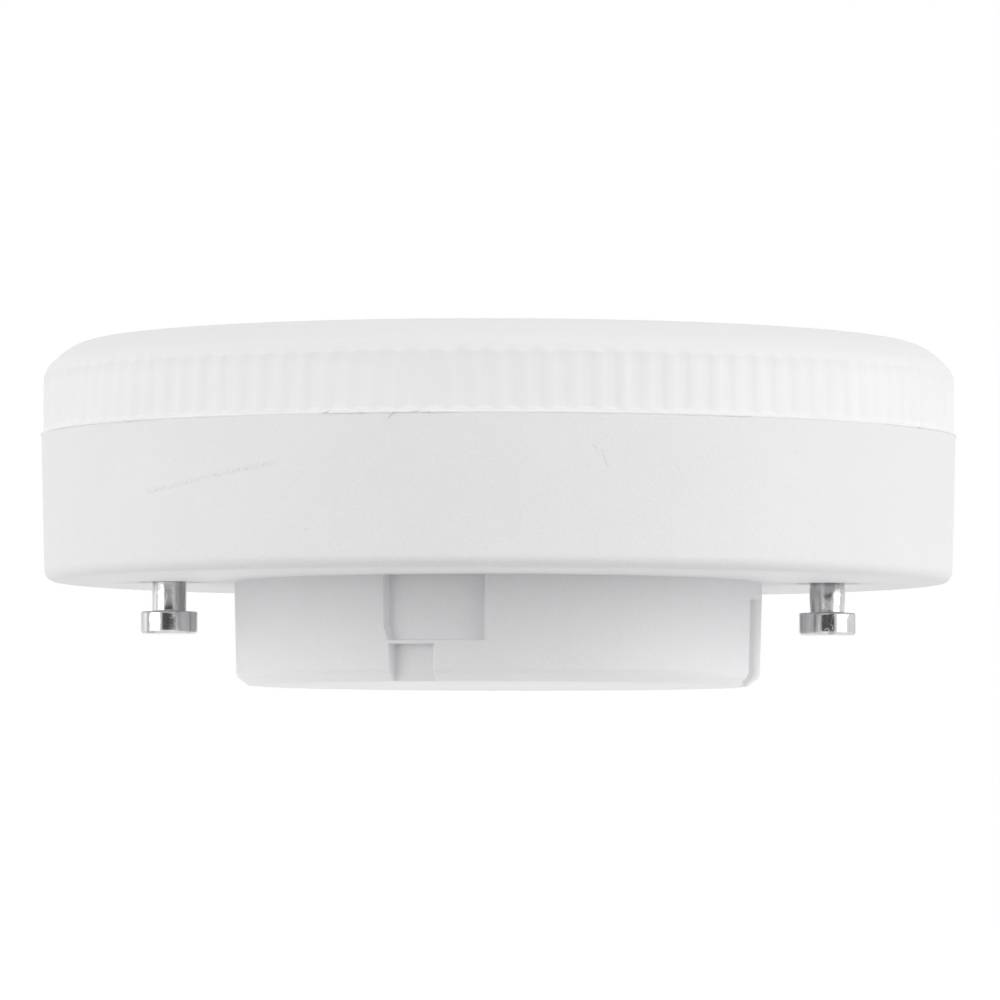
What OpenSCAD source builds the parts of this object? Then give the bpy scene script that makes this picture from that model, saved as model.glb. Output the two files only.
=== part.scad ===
// Flat LED disc lamp with a keyed bayonet boss and two twist-lock contact pins.
// Origin at the centre of the boss's end face, +Z towards the light-giving cover,
// +X through the right contact pin.

/* [Housing disc] */
// Diameter of the housing at the seam with the cover
disc_d = 73.6; // [71:0.1:80]
// Height of the disc from its back face to the seam
disc_h = 11.7; // [10.5:0.1:16]
// Radius that the outer wall loses from the seam down to the corner
disc_draft = 0.3; // [0:0.05:0.5]
// Radius of the corner between wall and back face
corner_r = 0.9; // [0.4:0.1:1.4]
// Wall thickness of the moulding
wall = 1.6; // [1.2:0.1:2]

/* [Boss] */
// Diameter of the boss at its root
boss_d = 42.5; // [41:0.1:44]
// Height of the boss below the back face
boss_h = 8.3; // [7.5:0.1:11]
// Radius that the boss loses from root to end
boss_draft = 0.18; // [0:0.02:0.3]
// Width and height of the chamfer round the boss's end
boss_chamfer = 0.95; // [0.5:0.05:1.1]
// Wall thickness of the boss
boss_wall = 2.5; // [2.1:0.1:3]
// Small fillet where the boss meets the back face
root_r = 0.3; // [0.1:0.05:0.5]

/* [Bayonet keyways] */
// Depth of the locking recess under the back face
recess_depth = 0.85; // [0.5:0.05:1.2]
// Height of the locking recess
recess_h = 5.12; // [4:0.02:5.5]
// Angle at which the locking recess starts, from the front
recess_start = -25; // [-30:0.1:-24.5]
// Angle at which the locking recess ends
recess_end = -2.3; // [-6:0.1:10]
// Width of the bevel at the locking recess's lower corner above the entry slot
recess_corner_w = 0.4; // [0.1:0.05:0.6]
// Height of that bevel
recess_corner_h = 1.25; // [0.5:0.05:2]
// Depth of the entry slot
entry_depth = 1.1; // [0.9:0.05:1.4]
// Angle at which the entry slot starts
entry_start = -23.9; // [-24.2:0.1:-20]
// Angle at which the entry slot ends
entry_end = -13.3; // [-16:0.1:-8]
// Height of the rib left between entry slot and locking recess
entry_drop = 0.24; // [0.1:0.02:0.5]
// Bevel along the entry slot's edges
entry_bevel = 0.22; // [0.1:0.02:0.3]
// Depth of the plain coding notch
notch_depth = 1.3; // [0.6:0.05:1.5]
// Height of the coding notch from the boss's end
notch_h = 6.95; // [5:0.05:7.3]
// Angle at which the coding notch starts
notch_start = 71.2; // [60:0.2:74]
// Angle at which the coding notch ends
notch_end = 83.5; // [80:0.5:92]

/* [Contact pins] */
// Distance from the boss's root to a pin's axis, which puts the two pins 53 mm apart
pin_offset = 5.25; // [5.15:0.05:5.35]
// Length of a pin below the back face
pin_reach = 4.15; // [3.9:0.05:4.6]
// Diameter of the pin's head
head_d = 4.56; // [4.2:0.02:5]
// Height of the pin's head
head_h = 1.78; // [1.5:0.02:2]
// Bevel on the lower edge of the head
head_bevel = 0.15; // [0.1:0.05:0.4]
// Bevel on the upper edge of the head
head_top_bevel = 0.15; // [0.05:0.05:0.3]
// Diameter of the pin's neck
neck_d = 2.75; // [2.5:0.05:3.1]
// Swell of the right pin's neck over its end diameter
neck_swell = 0.06; // [0.02:0.02:0.1]
// Diameter of the round recess that the pin's shoulder sits in
pin_recess_d = 4.9; // [4.5:0.1:6]
// Depth of that recess
pin_recess_depth = 0.3; // [0.1:0.05:0.5]
// Diameter of the pin's shank inside the housing
shank_d = 2.2; // [1.8:0.05:2.4]
// Height of the round pad round the pin inside the housing
pin_pad_h = 1; // [0.6:0.1:1.2]
// Diameter of that pad
pin_pad_d = 6.4; // [5.6:0.1:7]
// Diameter of the riveted end
rivet_d = 3.6; // [3:0.1:4.4]
// Height of the riveted end
rivet_h = 0.5; // [0.3:0.05:0.6]

/* [Cover] */
// Step from the housing's edge at the seam in to the ribs' crests
cover_inset = 0.15; // [0:0.05:0.4]
// Height of the cover above the seam, at its rim
cover_h = 7.4; // [6.4:0.1:10]
// Crown of the cover's face
crown = 0.2; // [0.1:0.05:0.6]
// Width of the rounded shoulder between band and face
shoulder_w = 3.3; // [2.4:0.1:4]
// Height of the rounded shoulder
shoulder_h = 2.75; // [2:0.05:3.2]
// Wall thickness of the cover
cover_wall = 1.5; // [1:0.1:1.8]
// Reach of the thin lip beyond the housing's edge at the seam
lip_out = 0.15; // [0.05:0.05:0.3]
// Thickness of the lip
lip_t = 0.25; // [0.15:0.05:0.4]
// Number of grip ribs round the band
rib_count = 120; // [60:2:140]
// Depth of the grip ribs
rib_depth = 0.2; // [0.1:0.02:0.4]
// Width of a rib at its crest
rib_crest = 0.25; // [0.1:0.05:0.5]
// Width that each flank of a rib adds at its foot
rib_flank = 0.5; // [0.2:0.05:0.6]
// Plain strip between the lip and the ribs
rib_start = 0.15; // [0.1:0.05:0.6]
// Length of the skirt that plugs into the housing
skirt_h = 2.8; // [2.4:0.1:3.2]
// Thickness of the skirt
skirt_t = 1.3; // [1:0.1:1.6]
// Number of snap hooks on the skirt
hook_count = 6; // [3:1:8]
// Width of a snap hook as an angle
hook_angle = 16; // [8:1:24]
// Reach of a snap hook outwards
hook_out = 0.35; // [0.2:0.05:0.4]
// Height of a snap hook
hook_h = 0.9; // [0.6:0.05:1.1]

/* [Heat spreader and light board] */
// Thickness of the stamped aluminium spreader
plate_t = 1; // [0.6:0.1:1.4]
// Depth of the spreader's turned-down rim
plate_rim = 3.6; // [2.6:0.1:4.4]
// Outer bend radius of the rim
plate_bend = 1.6; // [1.5:0.1:2]
// Thickness of the thermal pad
pad_t = 0.25; // [0.15:0.05:0.4]
// Margin of the light board outside its screws' heads
board_margin = 2; // [1:0.1:3]
// Thickness of the light board
led_board_t = 1; // [0.8:0.1:1.6]
// Margin by which the thermal pad stays inside the board
pad_margin = 0.8; // [0.4:0.1:1.6]
// Number of light-emitting packages in the outer ring
led_outer = 15; // [9:3:15]
// Number of light-emitting packages in the inner ring
led_inner = 9; // [6:1:9]
// Radius of the inner ring
led_inner_r = 12; // [11.5:0.5:14]
// Length of a light-emitting package
led_l = 3.5; // [3:0.1:3.6]
// Width of a light-emitting package
led_w = 2.8; // [2:0.1:3]
// Height of a light-emitting package
led_h = 0.75; // [0.5:0.05:1]

/* [Screws and posts] */
// Number of screws that hold board and spreader
screw_count = 3; // [3:1:3]
// Shank diameter of a screw
screw_d = 2.4; // [2:0.1:2.6]
// Length of a screw below its head
screw_l = 6; // [5:0.5:7]
// Head diameter of a screw
screw_head_d = 4.4; // [4:0.1:5]
// Head height of a screw
screw_head_h = 1.5; // [1.2:0.1:1.9]
// Diameter of a screw post
post_d = 5.2; // [4.8:0.1:6]
// Room between the driver bay and a post
post_gap = 1.4; // [1:0.1:2]
// Room under a screw's tip in its post
pilot_room = 1; // [0.5:0.1:1.5]

/* [Driver] */
// Thickness of the driver board
driver_t = 1; // [0.8:0.1:1.6]
// Room under the driver board
driver_standoff = 2.8; // [2.7:0.1:3.2]
// Width of a ledge that carries the driver board
ledge_w = 3; // [2:0.1:4]
// Reach of a ledge from the bay's wall
ledge_reach = 1.5; // [1.2:0.1:2]
// Thickness of the insulating sheet under the spreader
sheet_t = 0.25; // [0.15:0.05:0.4]
// Diameter of the mains smoothing capacitor
cap_d = 8; // [6.3:0.1:8.5]
// Diameter of the output capacitor
out_cap_d = 6.3; // [5:0.1:6.5]
// Height of the output capacitor
out_cap_h = 7.4; // [5:0.1:8]
// Diameter of the drum inductor
drum_d = 8; // [6:0.1:8.5]
// Height of the drum inductor
drum_h = 7; // [5:0.1:8]
// Thickness of the drum inductor's flanges
drum_flange = 1.2; // [0.8:0.1:1.6]
// Depth of the winding on the drum's waist
winding_t = 1.5; // [1:0.1:2]
// Step from the flanges' edge in to the winding
winding_step = 0.5; // [0.3:0.1:0.8]
// Length of the film capacitor
film_l = 8; // [7:0.1:8.5]
// Thickness of the film capacitor
film_w = 4.5; // [3:0.1:5]
// Height of the film capacitor
film_h = 7.5; // [6:0.1:8]
// Diameter of the varistor
varistor_d = 7; // [5:0.1:7.2]
// Thickness of the varistor
varistor_t = 3.4; // [2.5:0.1:4]
// Diameter of the fusible resistor
fuse_d = 3; // [2.4:0.1:3.4]
// Length of the fusible resistor
fuse_l = 7; // [6:0.1:7.5]
// Length of the bridge rectifier's body
bridge_l = 4.7; // [4:0.1:5]
// Height of the bridge rectifier, which hangs under the board
bridge_h = 2.4; // [1.6:0.1:2.5]
// Spacing of the bridge rectifier's legs
bridge_pitch = 2.54; // [2.5:0.01:2.6]
// Length of the driver chip's body
chip_l = 4.9; // [4.6:0.1:5]
// Height of the driver chip
chip_h = 1.6; // [1.2:0.1:1.8]
// Spacing of the driver chip's legs
chip_pitch = 1.27; // [1.25:0.01:1.3]
// Width of both flat packages
package_w = 3.9; // [3.6:0.1:4.4]
// Distance of both flat packages from the lamp's axis
package_x = 6; // [5:0.1:7]

/* [Wires] */
// Diameter of an insulated wire
wire_d = 1.2; // [1:0.05:1.5]
// Bend radius of a wire at its centre
wire_bend = 1.3; // [1.2:0.05:1.6]
// Spacing of the two wires to the light board
led_wire_pitch = 3; // [2.6:0.1:3.6]
// Distance of those wires from the lamp's axis
led_wire_y = 6; // [5.6:0.1:6.4]
// Width of the wire connector on the light board
conn_w = 7; // [6:0.1:8]
// Depth of the wire connector
conn_l = 5; // [4:0.1:5.4]
// Height of the wire connector
conn_h = 3; // [2.8:0.1:3.6]
// Straight end of a wire in front of its mouth in the connector
wire_end = 0.5; // [0.3:0.1:1]

/* [Clearances] */
// Between the cover's skirt and the housing wall
skirt_fit = 0.1; // [0.05:0.01:0.2]
// Between the spreader's rim and the housing wall
plate_fit = 0.12; // [0.05:0.01:0.2]
// Between the insulating sheet and the bend of the spreader's rim
sheet_edge_fit = 0.4; // [0.2:0.1:1]
// Between the skirt's lower edge and the spreader
skirt_gap = 0.2; // [0.1:0.05:0.4]
// Between the driver board and the bay's wall
board_fit = 0.3; // [0.1:0.05:0.4]
// Between the driver board and the clips over it
clip_gap = 0.1; // [0.05:0.01:0.2]
// Round a screw in the holes that it passes
screw_fit = 0.15; // [0.1:0.05:0.3]
// Round a screw's thread in its post
thread_fit = 0.02; // [0.01:0.01:0.05]
// Round a pin's shank
pin_fit = 0.02; // [0.01:0.01:0.05]
// Round a snap hook in its groove
hook_fit = 0.1; // [0.05:0.05:0.15]
// Round a post or a rivet where the sheet passes it
sheet_fit = 0.5; // [0.3:0.1:0.8]
// Between the tallest part on the driver and the insulating sheet
headroom_gap = 0.5; // [0.3:0.1:1]
// Margin between a part on the driver board and the board's edge
edge_gap = 1.1; // [0.8:0.1:1.4]
// Round a lead in the driver board
lead_fit = 0.1; // [0.05:0.05:0.15]
// Round the two wires where they pass the spreader
window_fit = 0.7; // [0.5:0.1:1]

/* [Hidden] */
$fn = 96;

// A little length that lets a cut pass its face
cut = 0.5;

// Levels, from the boss's end upwards
back_z = boss_h;
floor_z = back_z + wall;
seam_z = back_z + disc_h;
plate_top_z = seam_z - skirt_h - skirt_gap;
plate_z = plate_top_z - plate_t;
sheet_z = plate_z - sheet_t;
pad_z = plate_top_z;
led_board_z = pad_z + pad_t;
led_z = led_board_z + led_board_t;
rim_z = seam_z + cover_h;
driver_z = wall + driver_standoff;
driver_top_z = driver_z + driver_t;

// Radii
disc_r = disc_d / 2;
disc_foot_r = disc_r - disc_draft;
disc_bore_r = disc_r - wall;
boss_r = boss_d / 2;
pin_x = boss_r + pin_offset;
boss_end_r = boss_r - boss_draft;
bay_r = boss_end_r - boss_wall;
driver_r = bay_r - board_fit;
post_circle_r = bay_r + post_gap + post_d / 2;
plate_r = disc_bore_r - plate_fit;
skirt_r = disc_bore_r - skirt_fit;
sheet_r = plate_r - plate_bend - sheet_edge_fit;
cover_r = disc_r - cover_inset;
lip_r = disc_r + lip_out;
band_r = cover_r - rib_depth;
led_outer_r = post_circle_r;
led_board_r = post_circle_r + screw_head_d / 2 + board_margin;
drum_waist_r = drum_d / 2 - winding_step - winding_t;
snap_z = seam_z - skirt_h + hook_h / 2 + hook_fit * 2;

// Cap height fills the driver bay up to the headroom
cap_h = sheet_z - headroom_gap - driver_top_z;

// Angles of the parts round the driver board
cap_angle = 90;
out_cap_angle = 150;
drum_angle = 210;
fuse_angle = 270;
film_angle = 330;
varistor_angle = 30;
ledge_angles = [60, 120, 240, 300];
clip_angles = [0, 180];

// Small slot in the driver board's edge that marks which way round it goes
key_angle = 45;
key_slot = 1;

// Leads of the parts on the driver board
lead_d = 0.6;
lead_tail = 1;
cap_lead_pitch = 3.5;
out_cap_lead_pitch = 2.5;
drum_lead_pitch = 5;
film_lead_pitch = 5;
varistor_lead_pitch = 5;
fuse_overhang = 1.5;
fuse_lead_pitch = fuse_l + 2 * fuse_overhang;
film_inset = edge_gap + film_w;
fuse_inset = edge_gap + fuse_d + film_w / 2;
varistor_inset = edge_gap + varistor_t;
clip_reach = ledge_reach / 2;
mains_inset = edge_gap + clip_reach + wire_d;

// Point at radius r and angle a, counted from the front towards +X
function from_front(r, a) = [r * sin(a), -r * cos(a)];

// Points of an arc about a centre, from angle a0 to a1 in n steps
function arc(centre, r, a0, a1, n) =
    [for (i = [0:n]) centre + r * [cos(a0 + (a1 - a0) * i / n), sin(a0 + (a1 - a0) * i / n)]];

// Turns a sector of a revolved outline, between two angles from the front
module sector(start, end) {
    rotate([0, 0, start - 90]) rotate_extrude(angle = end - start) children();
}

// Repeats its children at both ends of the lamp's half-turn symmetry
module twice() {
    for (turn = [0, 180]) rotate([0, 0, turn]) children();
}

// Half section of the housing: boss, back face, wall, and the hollow inside
module housing_section() {
    bevel_mid = [boss_end_r - boss_chamfer * 0.2, boss_chamfer * 0.62];
    polygon(concat(
        [[0, 0], [boss_end_r - boss_chamfer, 0], bevel_mid, [boss_end_r, boss_chamfer]],
        arc([boss_r + root_r, back_z - root_r], root_r, 180, 90, 4),
        arc([disc_foot_r - corner_r, back_z + corner_r], corner_r, -90, 0, 8),
        [[disc_r, seam_z], [disc_bore_r, seam_z]],
        [[disc_bore_r, floor_z], [bay_r, floor_z], [bay_r, wall], [0, wall]]
    ));
}

// L-shaped bayonet track: entry slot from the end, then the locking recess under the back face
module bayonet_track() {
    outside = boss_r + 2;
    recess_z = back_z - recess_h;
    entry_top = recess_z - entry_drop;
    difference() {
        sector(recess_start, recess_end)
            translate([boss_end_r - recess_depth, recess_z])
                square([outside - boss_end_r + recess_depth, recess_h]);
        rotate([90, 0, recess_start]) linear_extrude(outside + cut)
            polygon([
                [-cut, recess_z - cut], [recess_corner_w, recess_z - cut], [recess_corner_w, recess_z],
                [0, recess_z + recess_corner_h], [-cut, recess_z + recess_corner_h]
            ]);
    }
    sector(entry_start, entry_end)
        polygon([
            [boss_end_r - entry_depth, -cut], [outside, -cut],
            [outside, entry_top + outside - boss_end_r + entry_bevel],
            [boss_end_r - entry_bevel, entry_top], [boss_end_r - entry_depth, entry_top]
        ]);
    bevel_angle = entry_bevel / boss_end_r * 180 / PI;
    translate([0, 0, -cut]) linear_extrude(entry_top + cut)
        polygon([
            from_front(boss_end_r - entry_bevel, entry_end),
            from_front(boss_end_r, entry_end + bevel_angle),
            from_front(outside, entry_end + bevel_angle * 3),
            from_front(outside, entry_end - bevel_angle)
        ]);
}

// Plain notch that codes the lamp to its holder
module coding_notch() {
    sector(notch_start, notch_end)
        translate([boss_end_r - notch_depth, -cut]) square([notch_depth + 2, notch_h + cut]);
}

// Screw post with its pilot hole
module screw_posts() {
    for (i = [0:screw_count - 1])
        rotate([0, 0, 90 + i * 360 / screw_count]) translate([post_circle_r, 0, floor_z - wall / 2])
            cylinder(d = post_d, h = plate_z - floor_z + wall / 2);
}

module screw_pilots() {
    pilot_l = screw_l - (led_z - plate_z) + pilot_room;
    for (i = [0:screw_count - 1])
        rotate([0, 0, 90 + i * 360 / screw_count]) translate([post_circle_r, 0, plate_z - pilot_l])
            cylinder(d = screw_d + 2 * thread_fit, h = pilot_l + cut);
}

// Ledges under the driver board and two clips over it
module driver_seats() {
    for (a = ledge_angles)
        rotate([0, 0, a]) translate([bay_r - ledge_reach, -ledge_w / 2, wall / 2])
            cube([ledge_reach + boss_wall / 2, ledge_w, driver_z - wall / 2]);
    nose_z = driver_top_z + clip_gap;
    for (a = clip_angles)
        rotate([0, 0, a]) translate([0, ledge_w / 2, 0]) rotate([90, 0, 0]) linear_extrude(ledge_w)
            polygon([
                [bay_r + boss_wall / 2, nose_z], [bay_r - clip_reach, nose_z],
                [bay_r - clip_reach, nose_z + clip_reach / 2],
                [bay_r, nose_z + clip_reach * 2], [bay_r + boss_wall / 2, nose_z + clip_reach * 2]
            ]);
}

module pin_pads() {
    twice() translate([pin_x, 0, floor_z - wall / 2])
        cylinder(d = pin_pad_d, h = pin_pad_h + wall / 2);
}

module pin_holes() {
    twice() translate([pin_x, 0, 0]) {
        translate([0, 0, back_z - cut]) cylinder(d = pin_recess_d, h = pin_recess_depth + cut);
        translate([0, 0, back_z]) cylinder(d = shank_d + 2 * pin_fit, h = wall + pin_pad_h + cut);
    }
}

// Groove in the housing wall that the cover's hooks snap into
module snap_groove() {
    groove_h = hook_h + 2 * hook_fit;
    translate([0, 0, snap_z - groove_h / 2]) rotate_extrude()
        translate([disc_bore_r - cut, 0]) square([cut + hook_out - skirt_fit + hook_fit, groove_h]);
}

module housing() {
    color("whitesmoke") difference() {
        union() {
            rotate_extrude() housing_section();
            screw_posts();
            driver_seats();
            pin_pads();
        }
        twice() bayonet_track();
        twice() coding_notch();
        screw_pilots();
        pin_holes();
        snap_groove();
    }
}

// Outline of the grip band: low ribs with a narrow crest and wide flanks, on a circle
module rib_outline() {
    pitch = 360 / rib_count;
    crest = rib_crest / cover_r * 90 / PI;
    foot = (rib_crest + 2 * rib_flank) / cover_r * 90 / PI;
    polygon([for (i = [0:rib_count - 1]) each [
        from_front(band_r, i * pitch - foot), from_front(cover_r, i * pitch - crest),
        from_front(cover_r, i * pitch + crest), from_front(band_r, i * pitch + foot)
    ]]);
}

// Shoulder of the cover from the band up to the face: a short arc, a slope and a soft edge
function shoulder_points(r, w, h) = [
    [r, rim_z - h], [r - w * 0.03, rim_z - h * 0.86], [r - w * 0.106, rim_z - h * 0.70],
    [r - w * 0.24, rim_z - h * 0.52], [r - w * 0.42, rim_z - h * 0.35], [r - w * 0.72, rim_z - h * 0.11],
    [r - w, rim_z]
];

// Solid envelope of the cover's outside
module cover_envelope() {
    rotate_extrude() polygon(concat(
        [[0, seam_z], [cover_r, seam_z]], shoulder_points(cover_r, shoulder_w, shoulder_h), [[0, rim_z + crown]]
    ));
}

// Half section of the hollow under the cover, narrowed to the skirt at the seam
module cover_hollow() {
    inner_r = band_r - cover_wall;
    skirt_inner_r = skirt_r - skirt_t;
    step = inner_r - skirt_inner_r;
    rotate_extrude() polygon(concat(
        [[0, seam_z - skirt_h - cut], [skirt_inner_r, seam_z - skirt_h - cut]],
        [[skirt_inner_r, seam_z + lip_t + rib_start], [inner_r, seam_z + lip_t + rib_start + step]],
        [for (p = shoulder_points(inner_r, shoulder_w, shoulder_h)) p - [0, cover_wall]],
        [[0, rim_z + crown - cover_wall]]
    ));
}

module snap_hooks() {
    for (i = [0:hook_count - 1]) {
        middle = i * 360 / hook_count;
        sector(middle - hook_angle / 2, middle + hook_angle / 2)
            polygon([
                [skirt_r - skirt_t / 2, snap_z - hook_h / 2], [skirt_r, snap_z - hook_h / 2],
                [skirt_r + hook_out, snap_z + hook_h / 4], [skirt_r + hook_out, snap_z + hook_h / 2],
                [skirt_r - skirt_t / 2, snap_z + hook_h / 2]
            ]);
    }
}

module diffuser() {
    rib_z = seam_z + lip_t + rib_start;
    color("white") difference() {
        union() {
            intersection() {
                translate([0, 0, rib_z]) linear_extrude(rim_z + crown + cut - rib_z) rib_outline();
                cover_envelope();
            }
            translate([0, 0, seam_z]) cylinder(r = band_r, h = lip_t + rib_start);
            translate([0, 0, seam_z]) cylinder(r = lip_r, h = lip_t);
            translate([0, 0, seam_z - skirt_h]) cylinder(r = skirt_r, h = skirt_h);
            snap_hooks();
        }
        cover_hollow();
    }
}

// Turned contact pin: bevelled head, neck with a slight swell, shank and riveted end
module contact_pin(swell) {
    head_z = back_z - pin_reach;
    head_r = head_d / 2;
    neck_r = neck_d / 2;
    neck_z = head_z + head_h;
    shoulder_z = back_z + pin_recess_depth;
    pad_top_z = floor_z + pin_pad_h;
    rivet_r = rivet_d / 2;
    neck_steps = 6;
    neck_l = shoulder_z - neck_z;
    rotate_extrude() polygon(concat(
        [[0, head_z], [head_r - head_bevel, head_z], [head_r, head_z + head_bevel]],
        [[head_r, neck_z - head_top_bevel], [head_r - head_top_bevel, neck_z]],
        [for (i = [0:neck_steps]) [
            neck_r + swell * sin(180 * i / neck_steps), neck_z + neck_l * i / neck_steps
        ]],
        [[shank_d / 2, shoulder_z], [shank_d / 2, pad_top_z], [rivet_r, pad_top_z]],
        [[rivet_r, pad_top_z + rivet_h / 2], [rivet_r - rivet_h / 2, pad_top_z + rivet_h]],
        [[0, pad_top_z + rivet_h]]
    ));
}

module contact_pin_left() {
    color("silver") translate([-pin_x, 0, 0]) contact_pin(0);
}

module contact_pin_right() {
    color("silver") translate([pin_x, 0, 0]) contact_pin(neck_swell);
}

// Holes that screws leave in a plate between two levels
module screw_holes(z, t, d) {
    for (i = [0:screw_count - 1])
        rotate([0, 0, 90 + i * 360 / screw_count]) translate([post_circle_r, 0, z - cut])
            cylinder(d = d, h = t + 2 * cut);
}

// Window that lets the two wires up to the light board
module wire_window(z, t) {
    window_r = wire_d / 2 + window_fit;
    hull() for (x = [-led_wire_pitch / 2, led_wire_pitch / 2])
        translate([x, -led_wire_y, z - cut]) cylinder(r = window_r, h = t + 2 * cut, $fn = 32);
}

module heat_spreader() {
    inner_bend = plate_bend - plate_t;
    color("gainsboro") difference() {
        rotate_extrude() polygon(concat(
            [[0, plate_z], [0, plate_top_z]],
            arc([plate_r - plate_bend, plate_top_z - plate_bend], plate_bend, 90, 0, 6),
            [[plate_r, plate_top_z - plate_rim], [plate_r - plate_t, plate_top_z - plate_rim]],
            arc([plate_r - plate_bend, plate_top_z - plate_bend], inner_bend, 0, 90, 6)
        ));
        screw_holes(plate_z, plate_t, screw_d + 2 * screw_fit);
        wire_window(plate_z, plate_t);
    }
}

module thermal_pad() {
    color("lightslategray") difference() {
        translate([0, 0, pad_z]) cylinder(r = led_board_r - pad_margin, h = pad_t);
        screw_holes(pad_z, pad_t, screw_d + 2 * screw_fit);
        wire_window(pad_z, pad_t);
    }
}

module led_board() {
    color("ivory") difference() {
        translate([0, 0, led_board_z]) cylinder(r = led_board_r, h = led_board_t);
        screw_holes(led_board_z, led_board_t, screw_d + 2 * screw_fit);
        wire_window(led_board_z, led_board_t);
    }
}

// One light-emitting package: a frame with a shallow round window
module led_package() {
    window_d = led_w * 0.78;
    window_depth = led_h / 6;
    difference() {
        translate([-led_w / 2, -led_l / 2, 0]) cube([led_w, led_l, led_h]);
        translate([0, 0, led_h - window_depth]) cylinder(d = window_d, h = window_depth + cut, $fn = 32);
    }
}

module led_ring(count, r, start) {
    for (i = [0:count - 1])
        rotate([0, 0, start + i * 360 / count]) translate([r, 0, led_z]) led_package();
}

module led_chips() {
    color("gold") {
        led_ring(led_outer, led_outer_r, 90 + 180 / led_outer);
        led_ring(led_inner, led_inner_r, 90);
    }
}

// Pan-head screw with a crossed recess and a plain shank in place of its thread
module board_screw() {
    head_r = screw_head_d / 2;
    tip = screw_d / 2;
    slot_w = screw_d * 0.22;
    slot_l = screw_head_d * 0.55;
    slot_depth = screw_head_h * 0.6;
    difference() {
        rotate_extrude() polygon([
            [0, -screw_l], [screw_d / 6, -screw_l], [screw_d / 2, tip - screw_l], [screw_d / 2, 0],
            [head_r, 0], [head_r, screw_head_h * 0.45], [head_r * 0.85, screw_head_h * 0.82],
            [head_r * 0.55, screw_head_h], [0, screw_head_h]
        ]);
        for (turn = [0, 90]) rotate([0, 0, turn])
            translate([-slot_l / 2, -slot_w / 2, screw_head_h - slot_depth]) cube([slot_l, slot_w, slot_depth + cut]);
    }
}

module board_screws() {
    color("silver") for (i = [0:screw_count - 1])
        rotate([0, 0, 90 + i * 360 / screw_count]) translate([post_circle_r, 0, led_z]) board_screw();
}

// Push-in connector on the light board with two wire mouths towards the front
module wire_connector() {
    front_y = wire_bend - led_wire_y + wire_end;
    edge = 0.4;
    color("white") difference() {
        translate([0, front_y, led_z]) rotate([-90, 0, 0]) linear_extrude(conn_l)
            polygon([
                [-conn_w / 2, 0], [-conn_w / 2, edge - conn_h], [edge - conn_w / 2, -conn_h],
                [conn_w / 2 - edge, -conn_h], [conn_w / 2, edge - conn_h], [conn_w / 2, 0]
            ]);
        for (x = [-led_wire_pitch / 2, led_wire_pitch / 2])
            translate([x, front_y + conn_l * 0.6, led_z + conn_h - cut]) cylinder(d = wire_d, h = cut * 2, $fn = 32);
    }
}

module insulating_sheet() {
    color("gray") difference() {
        translate([0, 0, sheet_z]) cylinder(r = sheet_r, h = sheet_t);
        screw_holes(sheet_z, sheet_t, post_d + 2 * sheet_fit);
        wire_window(sheet_z, sheet_t);
    }
}

// Places a part on the driver board, a distance in from the board's edge
module on_driver(angle, inset) {
    rotate([0, 0, angle]) translate([driver_r - inset, 0, driver_top_z]) children();
}

// Two leads, or the holes for them, from a height above the board to below it
module lead_pair(pitch, up, d, tail) {
    for (y = [-pitch / 2, pitch / 2]) translate([0, y, -driver_t - tail])
        cylinder(d = d, h = driver_t + tail + up, $fn = 24);
}

module driver_board() {
    hole_d = lead_d + 2 * lead_fit;
    color("darkgreen") difference() {
        translate([0, 0, driver_z]) cylinder(r = driver_r, h = driver_t);
        on_driver(cap_angle, edge_gap + cap_d / 2) lead_pair(cap_lead_pitch, cut, hole_d, cut);
        on_driver(out_cap_angle, edge_gap + out_cap_d / 2) lead_pair(out_cap_lead_pitch, cut, hole_d, cut);
        on_driver(drum_angle, edge_gap + drum_d / 2) lead_pair(drum_lead_pitch, cut, hole_d, cut);
        on_driver(film_angle, film_inset) lead_pair(film_lead_pitch, cut, hole_d, cut);
        on_driver(varistor_angle, varistor_inset) lead_pair(varistor_lead_pitch, cut, hole_d, cut);
        on_driver(fuse_angle, fuse_inset) lead_pair(fuse_lead_pitch, cut, hole_d, cut);
        rotate([0, 0, key_angle]) translate([driver_r - key_slot / 2, -key_slot / 2, driver_z - cut])
            cube([key_slot, key_slot, driver_t + 2 * cut]);
    }
}

// Aluminium can with a beaded neck and a rolled top edge, on a pair of leads
module can_capacitor(d, h, pitch) {
    r = d / 2;
    bead_z = 1.6;
    bead = 0.3;
    rim = 0.4;
    rotate_extrude() polygon([
        [0, 0], [r - bead, 0], [r, bead], [r, bead_z - bead], [r - bead, bead_z], [r, bead_z + bead],
        [r, h - rim], [r - rim, h], [r - 2 * rim, h - rim / 2], [0, h - rim / 2]
    ]);
    lead_pair(pitch, cut, lead_d, lead_tail);
}

module smoothing_capacitor() {
    color("midnightblue") on_driver(cap_angle, edge_gap + cap_d / 2) can_capacitor(cap_d, cap_h, cap_lead_pitch);
}

module output_capacitor() {
    color("midnightblue") on_driver(out_cap_angle, edge_gap + out_cap_d / 2)
        can_capacitor(out_cap_d, out_cap_h, out_cap_lead_pitch);
}

// Box-type film capacitor with bevelled long edges
module film_capacitor() {
    edge = 0.5;
    color("orangered") on_driver(film_angle, film_inset) {
        translate([0, film_l / 2, 0]) rotate([90, 0, 0]) linear_extrude(film_l)
            polygon([
                [-film_w / 2, 0], [film_w / 2, 0], [film_w / 2, film_h - edge], [film_w / 2 - edge, film_h],
                [edge - film_w / 2, film_h], [-film_w / 2, film_h - edge]
            ]);
        lead_pair(film_lead_pitch, cut, lead_d, lead_tail);
    }
}

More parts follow.
